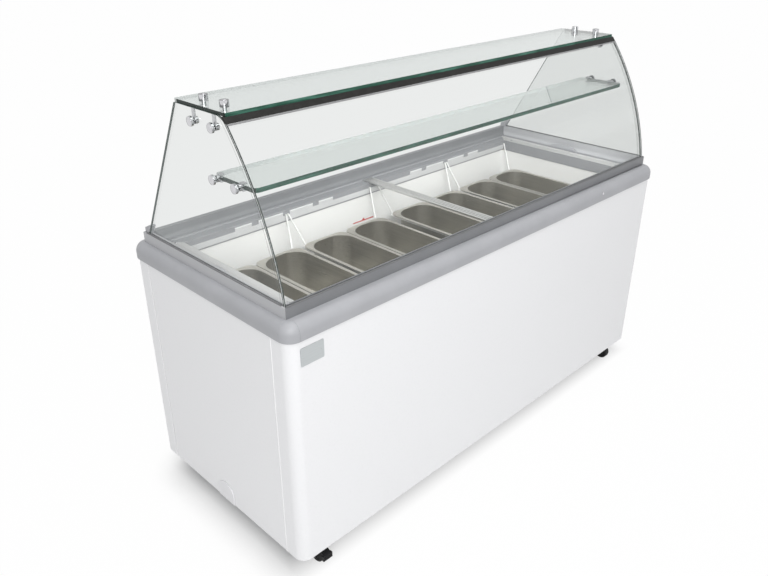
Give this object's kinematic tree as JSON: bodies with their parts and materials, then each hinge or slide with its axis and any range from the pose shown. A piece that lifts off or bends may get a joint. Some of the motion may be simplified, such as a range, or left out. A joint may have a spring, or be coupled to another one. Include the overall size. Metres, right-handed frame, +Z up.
{
  "type": "gelato dipping cabinet",
  "caption": "White chest cabinet on casters with a grey rim, a curved glass canopy with a shelf, and a row of lift-out gelato pans in a chilled well.",
  "frame": {"origin": "middle of the footprint, on the floor", "axes": "+Z up, +X to the right along the length, customer side with the curved glass at -Y"},
  "size_m": [1.61, 0.67, 1.188],
  "materials": {
    "white_panel": "smooth white gloss",
    "galvanised": "galvanised",
    "liner_white": "white enamel",
    "foam": "cut foam",
    "rim_grey": "satin grey",
    "strip_white": "satin white",
    "clear_glass": "clear with green edges",
    "black_seal": "matt black",
    "chrome_fitting": "polished",
    "bar_aluminium": "anodised",
    "white_wire": "dipped white",
    "pan_steel": "satin",
    "copper_tube": "drawn copper",
    "black_enamel": "black enamel",
    "fin_aluminium": "mill",
    "black_plastic": "fine grain",
    "switch_red": "gloss",
    "drain_plastic": "satin",
    "caster_steel": "zinc plated",
    "caster_black": "black",
    "caster_tyre": "matt",
    "pedal_black": "fine grain"
  },
  "bodies": {
    "cabinet": {"front_panel": "white_panel", "left_side_panel": "white_panel", "right_side_panel": "white_panel", "rear_panel": "white_panel", "rear_grille": "white_panel", "floor_pan": "galvanised", "liner": "liner_white", "insulation": "foam", "bumper_rails": "rim_grey", "bumper_corners": "rim_grey", "lip_rails": "rim_grey", "ledge_frame": "rim_grey", "glass_retainers": "rim_grey", "hanger_strips": "strip_white", "end_glass_left": "clear_glass", "end_glass_right": "clear_glass", "front_glass": "clear_glass", "top_glass": "clear_glass", "shelf_glass": "clear_glass", "joint_strip": "black_seal", "glass_gaskets": "black_seal", "top_connectors": "chrome_fitting", "shelf_clamps": "chrome_fitting", "centre_bar": "bar_aluminium", "pan_frames": "white_wire", "evaporator_tube": "copper_tube", "compressor": "black_enamel", "fan_motor": "black_enamel", "condenser": "fin_aluminium", "control_plate": "black_plastic", "power_inlet": "black_plastic", "drain_tube": "drain_plastic", "caster_plates": "caster_steel"},
    "pan_1_body": {"pan_1": "pan_steel"},
    "pan_2_body": {"pan_2": "pan_steel"},
    "pan_3_body": {"pan_3": "pan_steel"},
    "pan_4_body": {"pan_4": "pan_steel"},
    "pan_5_body": {"pan_5": "pan_steel"},
    "pan_6_body": {"pan_6": "pan_steel"},
    "pan_7_body": {"pan_7": "pan_steel"},
    "pan_8_body": {"pan_8": "pan_steel"},
    "caster_front_left": {"caster_fork_front_left": "caster_black", "caster_axle_front_left": "caster_steel"},
    "wheel_front_left": {"caster_wheel_front_left": "caster_tyre"},
    "pedal_front_left": {"brake_pedal_front_left": "pedal_black"},
    "caster_front_right": {"caster_fork_front_right": "caster_black", "caster_axle_front_right": "caster_steel"},
    "wheel_front_right": {"caster_wheel_front_right": "caster_tyre"},
    "caster_rear_left": {"caster_fork_rear_left": "caster_black", "caster_axle_rear_left": "caster_steel"},
    "wheel_rear_left": {"caster_wheel_rear_left": "caster_tyre"},
    "caster_rear_right": {"caster_fork_rear_right": "caster_black", "caster_axle_rear_right": "caster_steel"},
    "wheel_rear_right": {"caster_wheel_rear_right": "caster_tyre"},
    "pedal_rear_right": {"brake_pedal_rear_right": "pedal_black"},
    "fan": {"fan_blade": "fin_aluminium"},
    "knob": {"thermostat_knob": "black_plastic"},
    "rocker": {"power_switch": "switch_red"},
    "drain_plug": {"drain_cover": "strip_white"}
  },
  "joints": [
    {"name": "pan_1_lift", "type": "slide", "parent": "cabinet", "child": "pan_1_body", "axis": [0, 0, 1], "range_m": [0, 0.3]},
    {"name": "pan_2_lift", "type": "slide", "parent": "cabinet", "child": "pan_2_body", "axis": [0, 0, 1], "range_m": [0, 0.3]},
    {"name": "pan_3_lift", "type": "slide", "parent": "cabinet", "child": "pan_3_body", "axis": [0, 0, 1], "range_m": [0, 0.3]},
    {"name": "pan_4_lift", "type": "slide", "parent": "cabinet", "child": "pan_4_body", "axis": [0, 0, 1], "range_m": [0, 0.3]},
    {"name": "pan_5_lift", "type": "slide", "parent": "cabinet", "child": "pan_5_body", "axis": [0, 0, 1], "range_m": [0, 0.3]},
    {"name": "pan_6_lift", "type": "slide", "parent": "cabinet", "child": "pan_6_body", "axis": [0, 0, 1], "range_m": [0, 0.3]},
    {"name": "pan_7_lift", "type": "slide", "parent": "cabinet", "child": "pan_7_body", "axis": [0, 0, 1], "range_m": [0, 0.3]},
    {"name": "pan_8_lift", "type": "slide", "parent": "cabinet", "child": "pan_8_body", "axis": [0, 0, 1], "range_m": [0, 0.3]},
    {"name": "swivel_front_left", "type": "hinge", "parent": "cabinet", "child": "caster_front_left", "pos_m": [-0.716, -0.272, 0.063], "axis": [0, 0, 1], "continuous": true},
    {"name": "roll_front_left", "type": "hinge", "parent": "caster_front_left", "child": "wheel_front_left", "pos_m": [-0.716, -0.288, 0.025], "axis": [1, 0, 0], "continuous": true},
    {"name": "brake_front_left", "type": "hinge", "parent": "caster_front_left", "child": "pedal_front_left", "pos_m": [-0.716, -0.302, 0.051], "axis": [1, 0, 0], "range_deg": [0, 10]},
    {"name": "swivel_front_right", "type": "hinge", "parent": "cabinet", "child": "caster_front_right", "pos_m": [0.716, -0.272, 0.063], "axis": [0, 0, 1], "continuous": true},
    {"name": "roll_front_right", "type": "hinge", "parent": "caster_front_right", "child": "wheel_front_right", "pos_m": [0.716, -0.288, 0.025], "axis": [1, 0, 0], "continuous": true},
    {"name": "swivel_rear_left", "type": "hinge", "parent": "cabinet", "child": "caster_rear_left", "pos_m": [-0.716, 0.272, 0.063], "axis": [0, 0, 1], "continuous": true},
    {"name": "roll_rear_left", "type": "hinge", "parent": "caster_rear_left", "child": "wheel_rear_left", "pos_m": [-0.716, 0.288, 0.025], "axis": [1, 0, 0], "continuous": true},
    {"name": "swivel_rear_right", "type": "hinge", "parent": "cabinet", "child": "caster_rear_right", "pos_m": [0.716, 0.272, 0.063], "axis": [0, 0, 1], "continuous": true},
    {"name": "roll_rear_right", "type": "hinge", "parent": "caster_rear_right", "child": "wheel_rear_right", "pos_m": [0.716, 0.288, 0.025], "axis": [1, 0, 0], "continuous": true},
    {"name": "brake_rear_right", "type": "hinge", "parent": "caster_rear_right", "child": "pedal_rear_right", "pos_m": [0.716, 0.302, 0.051], "axis": [-1, 0, 0], "range_deg": [0, 10]},
    {"name": "fan_spin", "type": "hinge", "parent": "cabinet", "child": "fan", "pos_m": [0.48, 0.27, 0.145], "axis": [0, 1, 0], "continuous": true},
    {"name": "thermostat_turn", "type": "hinge", "parent": "cabinet", "child": "knob", "pos_m": [0.132, 0.32, 0.165], "axis": [0, 1, 0], "range_deg": [0, 270]},
    {"name": "switch_rock", "type": "hinge", "parent": "cabinet", "child": "rocker", "pos_m": [0.225, 0.309, 0.165], "axis": [1, 0, 0], "range_deg": [-8, 8]},
    {"name": "drain_pull", "type": "slide", "parent": "cabinet", "child": "drain_plug", "axis": [-1, 0, 0], "range_m": [0, 0.03]}
  ]
}
